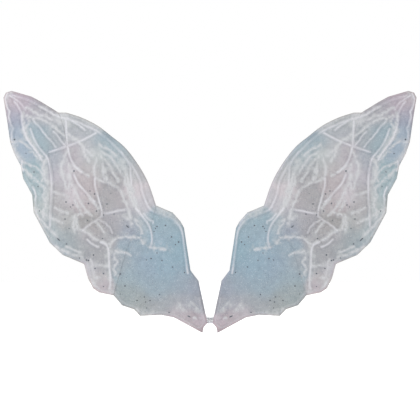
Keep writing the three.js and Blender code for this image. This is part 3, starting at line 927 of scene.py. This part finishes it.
# Outboard, up, half length and turn of the long ones.
LONG_FLAKES = {
    "root end": (42, 11, 4.2, 0.45),
    "corner": (303, 165, 5.0, 0.8),
    "shoulder": (165, 191, 3.8, 0.7),
}
LONG_HALF_WIDTH = 1.3
DARK_RADII, DUST_RADII, BRIGHT_RADII = (1.2, 1.8), (0.3, 0.6), (0.25, 0.5)
DUSTED = [((95, 12), (190, 115), 150), ((190, 175), (300, 270), 170), ((150, 170), (250, 330), 110)]
WING_BOX = ((5, -20), (412, 462))
BRIGHT_COUNT = 320
CLEAR_OF_EDGE = 2.5
scatter = np.random.default_rng(23)
print("flakes placed by hand:", len(DARK_FLAKES) + len(LONG_FLAKES))


def topmost(points):
    """For each place the petal whose sheet is in front there, as an index, or -1 outside the wing."""
    owner = np.full(len(points), -1)
    for index, petal in enumerate(PETALS):
        owner[inside(points, outlines[petal])] = index
    return owner


def scattered(low, high, count):
    """Random places in a box, kept where they fall well inside the wing."""
    places = scatter.uniform(low, high, (count, 2))
    clear = distance_to(places, wing_edge) > CLEAR_OF_EDGE
    return places[(topmost(places) >= 0) & clear]


# %% Flake prisms
FLAKE_THICKNESS = 0.12
SUNK = 0.03                      # how far a flake's underside is set into the film
STIFFNESS = 0.3                  # how much flatter a flake is than the film under it
CORNERS = 6


def film_height(places, owner):
    """Height of the front film at many places, each on its own petal's sheet."""
    fields = WingFields(places)
    return np.choose(owner, [fields.height(petal, FRONT) for petal in PETALS])


def flake_corners(centres, radii, stretches, turns):
    """Corner k of each flake is centre + R(turn) (stretch r cos 60k, r sin 60k)."""
    angle = np.arange(CORNERS) * 2 * np.pi / CORNERS
    long = (stretches * radii)[:, None] * np.cos(angle)
    wide = radii[:, None] * np.sin(angle)
    cos, sin = np.cos(turns)[:, None], np.sin(turns)[:, None]
    turned = np.stack([cos * long - sin * wide, sin * long + cos * wide], axis=2)
    return (centres[:, None, :] + turned).reshape(-1, 2)


def flake_mesh(centres, radii, stretches, turns):
    """Prisms with each corner low and high on the film, as (outboard, height, up), and their faces."""
    flat = flake_corners(centres, radii, stretches, turns)
    base = film_height(flat, np.repeat(topmost(centres), CORNERS))
    even = np.repeat(base.reshape(-1, CORNERS).mean(axis=1), CORNERS)
    base = (1 - STIFFNESS) * base + STIFFNESS * even
    levels = np.stack([base - SUNK, base + FLAKE_THICKNESS], axis=1)
    points = np.stack([np.repeat(flat[:, 0], 2), levels.ravel(), np.repeat(flat[:, 1], 2)], axis=1)
    low = 2 * (CORNERS * np.arange(len(centres))[:, None] + np.arange(CORNERS))
    high = low + 1
    walls = np.stack([low, np.roll(low, -1, axis=1), np.roll(high, -1, axis=1), high], axis=2)
    return points, walls.reshape(-1, 4).tolist() + high.tolist() + low[:, ::-1].tolist()


def flake_pieces(name, centres, radii, look, long_ones=()):
    """One piece of flakes on each wing. The last places are the long ones, if there are any."""
    stretches = np.ones(len(centres))
    turns = scatter.uniform(0, np.pi / 3, len(centres))
    for index, (_, _, half_length, turn) in enumerate(long_ones, len(centres) - len(long_ones)):
        stretches[index] = half_length / LONG_HALF_WIDTH
        turns[index] = turn
    flat, faces = flake_mesh(centres, radii, stretches, turns)
    for prefix, side in SIDES.items():
        points = np.column_stack([side * flat[:, 0], wing_plane / MM - flat[:, 1], flat[:, 2]]) * MM
        piece = mesh_piece(f"{prefix}_{name}", points, faces, smooth=False)
        close_up(piece.data, outward=True)
        piece.data.materials.append(look)
        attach(piece, f"{prefix}_wing")
    print(name, len(centres), "on each wing")


def glitter_material(name, swatch, roughness):
    """Foil: metallic, with each flake's brightness a little different."""
    material, tree, shader = new_material(name, Metallic=0.6, Roughness=roughness)
    twinkle = ramp(tree, object_noise(tree, 260, 1), (0.35, 0.75), (0.65, 1.15))
    tree.links.new(mixed(tree, "MULTIPLY", 1.0, linear(swatch), twinkle), shader.inputs["Base Color"])
    return material


# %% Cut and scatter the flakes
# Painted shade and painted glint: one foil as a dark copy for flakes in shade and a bright copy for flakes
# that catch the light.
glitter_painted_shade = glitter_material("glitter_painted_shade", (92, 98, 106), 0.35)
glitter_painted_glint = glitter_material("glitter_painted_glint", (226, 230, 236), 0.25)

hand_placed = np.array(DARK_FLAKES + [spec[:2] for spec in LONG_FLAKES.values()], float)
hand_sizes = np.full(len(hand_placed), LONG_HALF_WIDTH)
hand_sizes[:len(DARK_FLAKES)] = scatter.uniform(*DARK_RADII, len(DARK_FLAKES))
flake_pieces("dark_flakes", hand_placed, hand_sizes, glitter_painted_shade, list(LONG_FLAKES.values()))
dust = np.concatenate([scattered(*area) for area in DUSTED])
flake_pieces("dark_dust", dust, scatter.uniform(*DUST_RADII, len(dust)), glitter_painted_shade)
bright = scattered(*WING_BOX, BRIGHT_COUNT * 4)[:BRIGHT_COUNT]
flake_pieces("bright_flakes", bright, scatter.uniform(*BRIGHT_RADII, len(bright)), glitter_painted_glint)

# %% [markdown]
# ## Glue where the frame wires come through
# The two frame wires leave their ferrule behind the wing and pass through the back sheet. On the real
# wing a dab of clear glue seals each hole. A dab is a flattened dome, round over the sheet and flat
# under it, stretched along the turning axis so that it covers the slot.

# %% Glue dabs
# Place along the axis and offset from it, half length, half width and height, in millimetres.
GLUE_DABS = {"upper_glue": (95.5, 4.3, 8.5, 4.2, 2.2), "lower_glue": (56.8, -5.6, 7.0, 3.6, 1.4)}
UNDERSIDE = 0.3                  # how far a dome reaches below its middle
back_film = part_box("right_root_film_back")[1].y


def dome(long, wide, tall, rows=10, columns=20):
    """Points (long sin a cos b, wide sin a sin b, tall cos a), shallower below: a pole to pole, b around."""
    a = np.linspace(0, np.pi, rows)[:, None]
    b = np.linspace(0, 2 * np.pi, columns, endpoint=False)[None, :]
    rise = np.where(np.cos(a) > 0, tall, UNDERSIDE) * np.cos(a) * np.ones_like(b)
    return np.stack([long * np.sin(a) * np.cos(b), wide * np.sin(a) * np.sin(b), rise], axis=2)


def glue_dab(prefix, name, look):
    """One dab on the back of a wing, long along the turning axis."""
    along, offset, long, wide, tall = GLUE_DABS[name]
    bead = dome(long, wide, tall)
    flat = AXIS_FOOT + ALONG * (along + bead[..., :1]) + ACROSS * (offset + bead[..., 1:2])
    flat = flat.reshape(-1, 2)
    depth = back_film + bead[..., 2].ravel() * MM
    points = np.column_stack([SIDES[prefix] * flat[:, 0] * MM, depth, flat[:, 1] * MM])
    piece = mesh_piece(f"{prefix}_{name}", points, ring_faces(*bead.shape[:2]))
    close_up(piece.data, outward=True)
    piece.data.materials.append(look)
    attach(piece, f"{prefix}_wing")


glue_look, glue_tree, glue_shader = new_material(
    "clear_glue", Base_Color=(0.86, 0.88, 0.88, 1), Roughness=0.18, IOR=1.48, Alpha=0.75)
bump(glue_tree, glue_shader, object_noise(glue_tree, 500, 2), 0.2 * MM)
for prefix in SIDES:
    for name in GLUE_DABS:
        glue_dab(prefix, name, glue_look)
print("glue dabs:", 2 * len(GLUE_DABS))

# %% [markdown]
# ## The stitched pad
# Between the plate and the wearer's back lies a thin pad: soft cloth over foam, sewn around its rim
# and quilted along its arms, with piping in the seam. The frame's pad is a flat block. A cloth
# simulation blows up a remeshed copy of it, which gives the soft wrinkled swell of real padding, and
# the sewn channels are pressed in afterwards, because a remesh would erase them.

# %% Inflate the pad
PAD_VOXEL = 1.7 * MM
PAD_START = 0.7                  # share of the pad's thickness that the simulation starts from
SWELL_CAP = 1.4 * MM
PAD_PRESSURE = 4
PAD_FRAMES = 20
pad_low, pad_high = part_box("back_pad")
pad_middle = (pad_low.y + pad_high.y) / 2
pad_rim = outline("back_pad")


def points_of(mesh):
    """All point places of a mesh as one array."""
    flat = np.empty(3 * len(mesh.vertices), dtype=np.float32)
    mesh.vertices.foreach_get("co", flat)
    return flat.reshape(-1, 3).astype(float)


def baked(piece):
    """Replaces a piece's mesh by what its modifiers make of it at the current frame."""
    shape = bpy.data.meshes.new_from_object(piece.evaluated_get(bpy.context.evaluated_depsgraph_get()))
    piece.modifiers.clear()
    piece.data = shape


def put_points(mesh, points):
    """Writes point places back to the mesh."""
    mesh.vertices.foreach_set("co", points.astype(np.float32).ravel())
    mesh.update()


points, triangles = welded("back_pad")
pad = mesh_piece("back_pad_cover", points, triangles)
remesh = pad.modifiers.new("remesh", "REMESH")
remesh.mode = "VOXEL"
remesh.voxel_size = PAD_VOXEL
baked(pad)
points = points_of(pad.data)
points[:, 1] = pad_middle + (points[:, 1] - pad_middle) * PAD_START
put_points(pad.data, points)
cloth = pad.modifiers.new("cloth", "CLOTH")
cloth.settings.use_pressure = True
cloth.settings.uniform_pressure_force = PAD_PRESSURE
cloth.settings.effector_weights.gravity = 0
for step in range(1, PAD_FRAMES + 1):
    bpy.context.scene.frame_set(step)
baked(pad)
swell = points_of(pad.data) - points
far = np.linalg.norm(swell, axis=1, keepdims=True)
points = points + swell * np.minimum(1, SWELL_CAP / np.maximum(far, MM / 1000))
bpy.context.scene.frame_set(1)
print("pad points:", len(points))

# %% Quilt the pad
CHANNEL = 1.5                    # half width of a sewn channel, in millimetres
RIM_INSET = 6.5                  # how far inside the rim the long seam runs
RIM_HEIGHT, CROWN_REACH = 0.35, 5     # share of the depth left at the rim, and where it is full
QUILT_STEP = 14                  # from one channel across the arms to the next
QUILT_SLANT = 0.4                # how much these channels fall towards the outer side
QUILT_SHARE = 0.8                # their depth beside the long seam's
SEW_DEPTH = 0.6                  # how much of the padding a seam pulls in
FILLED = 1.25                    # how far the middle is pushed out to its full depth
PAD_SURFACE = 0.3 * MM           # least room left to the plate and to the wearer
pad_loop = np.vstack([pad_rim, pad_rim[:1]])
pad_segments = segments_of(pad_loop)
flat = points[:, [0, 2]] / MM
to_rim = np.where(inside(flat, pad_rim), distance_to(flat, pad_segments), 0)
crown = RIM_HEIGHT + (1 - RIM_HEIGHT) * smooth_step(to_rim / CROWN_REACH)
rim_seam = bell(to_rim - RIM_INSET, CHANNEL)
across_arm = (flat[:, 1] + QUILT_SLANT * np.abs(flat[:, 0])) % QUILT_STEP - QUILT_STEP / 2
quilt_seam = bell(across_arm, CHANNEL) * smooth_step((to_rim - RIM_INSET) / CHANNEL)
sewn = np.maximum(rim_seam, QUILT_SHARE * quilt_seam)
half = (pad_high.y - pad_low.y) / 2 - PAD_SURFACE
depth = (points[:, 1] - pad_middle) / np.abs(points[:, 1] - pad_middle).max()
filled = np.sign(depth) * np.minimum(1, FILLED * np.abs(depth))
points[:, 1] = pad_middle + half * filled * crown * (1 - SEW_DEPTH * sewn)
put_points(pad.data, points)
# The same share is stored for the painted shade in the channels.
paint(pad.data, "sewn", np.repeat(sewn[:, None], 3, axis=1))
pad.data.shade_smooth()
finer = pad.modifiers.new("finer", "SUBSURF")
finer.levels = finer.render_levels = 1
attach(pad, "harness")
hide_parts("back_pad")
print("pad padding", round(2 * half / MM, 1), "mm deep at most, sewn down by", SEW_DEPTH)

# %% Piping and stitches
WEARER, PLATE = 1, -1            # which way a face of the pad looks
PIPING_RADIUS = 1.2 * MM
PIPING_RINGS, PIPING_INSET = 280, 0.2
STITCH_PLACES = 140              # about 3 mm apart around the rim
STITCH = {"long": 1.5, "wide": 0.42, "tall": 0.4}      # half length, half width and height
CORNER_SHARE = 0.9               # a stitch this much closer to the rim than its seam is left out
THREAD_PROUD = 0.6               # the subdivision rounds the seam's bottom up by about this much


def closed_tube(name, path, radius, sides=10):
    """A ring of circles along a closed flat path: path + r (outward cos a, depth sin a)."""
    ahead = np.roll(path, -1, axis=0) - np.roll(path, 1, axis=0)
    ahead /= np.linalg.norm(ahead, axis=1, keepdims=True)
    out = np.column_stack([ahead[:, 1], -ahead[:, 0]])
    a = np.linspace(0, 2 * np.pi, sides, endpoint=False)
    flat = path[:, None, :] + radius * np.cos(a)[None, :, None] * out[:, None, :]
    depth = np.broadcast_to(pad_middle + radius * np.sin(a), flat.shape[:2])
    points = np.stack([flat[..., 0], depth, flat[..., 1]], axis=2)
    points = np.concatenate([points, points[:1]])
    piece = mesh_piece(name, points.reshape(-1, 3), ring_faces(*points.shape[:2]))
    close_up(piece.data, outward=True)
    return piece


def around_pad(inset, count):
    """Even places on the pad's rim moved inwards, with the direction of the rim there."""
    ring = evenly(pad_loop, count)[:-1]
    ahead = np.roll(ring, -1, axis=0) - np.roll(ring, 1, axis=0)
    ahead /= np.linalg.norm(ahead, axis=1, keepdims=True)
    normal = np.column_stack([ahead[:, 1], -ahead[:, 0]])
    normal = np.where(inside(ring + normal, pad_rim)[:, None], normal, -normal)
    return ring + inset * normal, ahead


def stitch_row(name, face):
    """Short flattened beads end to end along the long seam, on one face of the pad."""
    places, ahead = around_pad(RIM_INSET, STITCH_PLACES)
    keep = distance_to(places, pad_segments) > CORNER_SHARE * RIM_INSET
    places, ahead = places[keep][:, None, None, :], ahead[keep][:, None, None, :]
    side = np.stack([ahead[..., 1], -ahead[..., 0]], axis=-1)
    bead = dome(**STITCH, rows=5, columns=6)
    flat = places + bead[None, ..., :1] * ahead + bead[None, ..., 1:2] * side
    above_middle = half * (1 - SEW_DEPTH) + (THREAD_PROUD + bead[None, ..., 2]) * MM
    depth = pad_middle + face * above_middle + np.zeros(flat.shape[:3])
    points = np.stack([flat[..., 0] * MM, depth, flat[..., 1] * MM], axis=3)
    first = bead.shape[0] * bead.shape[1] * np.arange(len(places))[:, None, None]
    faces = (ring_faces(*bead.shape[:2])[None] + first).reshape(-1, 4)
    piece = mesh_piece(name, points.reshape(-1, 3), faces)
    close_up(piece.data, outward=True)
    return piece


piping_path = around_pad(PIPING_INSET, PIPING_RINGS)[0] * MM
pad_trim = [closed_tube("back_pad_piping", piping_path, PIPING_RADIUS),
            stitch_row("back_pad_stitches_wearer", WEARER),
            stitch_row("back_pad_stitches_plate", PLATE)]
for piece in pad_trim:
    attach(piece, "harness")
print("pad trim:", [piece.name for piece in pad_trim])

# %% [markdown]
# ## Cloth and hard finishes
# The pad is woven cotton: two crossed sets of fine threads. The plate is clear polycarbonate, the
# sockets and bushes are moulded nylon, the wires are drawn steel and the small fittings are plated.
# Each gets its own fine structure: drawing lines, moulding grain or handling marks.

# %% Cloth
def woven_material(name, swatch, threads):
    """Two crossed waves of threads shade the cloth and raise its weave. Painted shade darkens the sewn
    channels.
    """
    material, tree, shader = new_material(name, Roughness=0.9, Sheen_Weight=0.4, Sheen_Roughness=0.5)
    place = place_in_object(tree)
    warp, weft = (node(tree, "ShaderNodeTexWave", {"Vector": place, "Scale": threads, "Distortion": 1.2,
                                                   "Detail": 1.0, "Detail Scale": 3.0},
                       bands_direction=axis).outputs["Fac"] for axis in ("X", "Z"))
    weave = node(tree, "ShaderNodeMath", {0: warp, 1: weft}, operation="MAXIMUM").outputs[0]
    threaded = ramp(tree, weave, (0.2, 0.8), (0.9, 1.0))
    worn = ramp(tree, object_noise(tree, 60, 3), (0.35, 0.9), (0.65, 1.04))
    colour = mixed(tree, "MULTIPLY", 1.0, linear(swatch), threaded)
    colour = mixed(tree, "MULTIPLY", 1.0, colour, worn)
    painted_channel_shade = node(tree, "ShaderNodeAttribute", attribute_name="sewn").outputs["Fac"]
    # Painted shade in the sewn channels: the deeper a channel, the darker its cloth.
    colour = mixed(tree, "MULTIPLY", 1.0, colour, ramp(tree, painted_channel_shade, (0.1, 1.0), (0.9, 0.62)))
    tree.links.new(colour, shader.inputs["Base Color"])
    bump(tree, shader, weave, 0.25 * MM)
    return material


pad.data.materials.clear()
pad.data.materials.append(woven_material("pad_cotton", (222, 219, 220), 330))
trim_look = woven_material("pad_binding", (166, 158, 178), 520)
for piece in pad_trim:
    piece.data.materials.append(trim_look)
print("pad cloth and binding are on")

# %% Hard finishes
def metal_material(name, swatch, roughness, stretch, mark):
    """Metal with fine lines along one direction and a few duller patches from handling."""
    material, tree, shader = new_material(name, Metallic=1.0)
    lines = object_noise(tree, 1500, 2, 0.6, stretch)
    tone = ramp(tree, lines, (0.3, 0.86), (0.7, 1.05))
    tree.links.new(mixed(tree, "MULTIPLY", 1.0, linear(swatch), tone), shader.inputs["Base Color"])
    dull = ramp(tree, object_noise(tree, 140, 3), (0.4, roughness), (0.7, roughness + 0.18))
    tree.links.new(dull, shader.inputs["Roughness"])
    bump(tree, shader, lines, mark * MM)
    return material


def moulded_material(name, swatch, roughness, grain_scale, depth, **shader_values):
    """Moulded plastic or rubber: fine surface grain, slight clouding, scuffed roughness."""
    material, tree, shader = new_material(name, **shader_values)
    cloud = ramp(tree, object_noise(tree, 110, 3), (0.3, 0.93), (0.7, 1.03))
    tree.links.new(mixed(tree, "MULTIPLY", 1.0, linear(swatch), cloud), shader.inputs["Base Color"])
    scuff = ramp(tree, object_noise(tree, 420, 3, 0.7), (0.4, roughness), (0.75, roughness + 0.15))
    tree.links.new(scuff, shader.inputs["Roughness"])
    bump(tree, shader, object_noise(tree, grain_scale, 2), depth * MM)
    return material


FINISHES = {
    "clear_plate": moulded_material("clear_polycarbonate", (240, 244, 247), 0.06, 900, 0.02,
                                    Alpha=0.3, IOR=1.58),
    "white_nylon": moulded_material("white_nylon", (216, 217, 213), 0.42, 1400, 0.05,
                                    Subsurface_Weight=0.08, Subsurface_Scale=0.004),
    "frame_wire": metal_material("drawn_steel", (206, 210, 214), 0.3, (1, 1, 0.08), 0.03),
    "bright_metal": metal_material("plated_steel", (204, 207, 211), 0.2, (0.2, 1, 1), 0.02),
    "black_rubber": moulded_material("black_rubber", (40, 40, 42), 0.7, 1600, 0.05),
}
dressed = 0
for name, carried in frame["nodes"].items():
    finish = carried.data.materials[0].name.split(".")[0]
    if finish in FINISHES:
        carried.material_slots[0].material = FINISHES[finish]
        dressed += 1
print("frame nodes given a finish:", dressed)

# %% [markdown]
# ## Light and floor
# A white room, with a soft lamp up and to the left that shows the relief and casts no hard shadow,
# and a weaker one behind the wings. The floor is pale and wide.

# %% Floor, world and lamps
FLOOR_LEVEL = -0.3
FLOOR_REACH = 6
LAMPS_AIM = (0, 0, 0.2)
floor_points = np.array([(-1, -1), (1, -1), (1, 1), (-1, 1)]) * FLOOR_REACH
floor_points = np.column_stack([floor_points, np.full(4, FLOOR_LEVEL)])
floor = mesh_piece("floor", floor_points, np.array([(0, 1, 2, 3)]), smooth=False)
floor_look, _, _ = new_material("pale_floor", Base_Color=(0.9, 0.9, 0.9, 1), Roughness=0.9,
                                Emission_Color=(1, 1, 1, 1), Emission_Strength=0.5)
floor.data.materials.append(floor_look)

ROOM_LIGHT = 0.85
world = bpy.data.worlds.new("white_room")
world.use_nodes = True
sky = world.node_tree
seen = node(sky, "ShaderNodeLightPath").outputs["Is Camera Ray"]
level = node(sky, "ShaderNodeMapRange", {"Value": seen, "To Min": ROOM_LIGHT, "To Max": 1.0}).outputs[0]
sky.links.new(level, sky.nodes["Background"].inputs["Strength"])
sky.nodes["Background"].inputs["Color"].default_value = (1, 1, 1, 1)
bpy.context.scene.world = world
bpy.context.scene.view_settings.view_transform = "Standard"


def soft_lamp(name, place, size, power):
    """A square area lamp that faces the middle of the wings."""
    data = bpy.data.lights.new(name, "AREA")
    data.size = size
    data.energy = power
    lamp = bpy.data.objects.new(name, data)
    bpy.context.scene.collection.objects.link(lamp)
    lamp.location = place
    turn = Vector(LAMPS_AIM) - Vector(place)
    lamp.rotation_euler = turn.to_track_quat("-Z", "Y").to_euler()


soft_lamp("key_lamp", place=(-1.4, -1.5, 1.6), size=0.5, power=22)
soft_lamp("back_lamp", place=(1.2, 1.6, 1.4), size=0.4, power=7)
print("floor, room and lamps are set")

# %% End
print("scene is set")
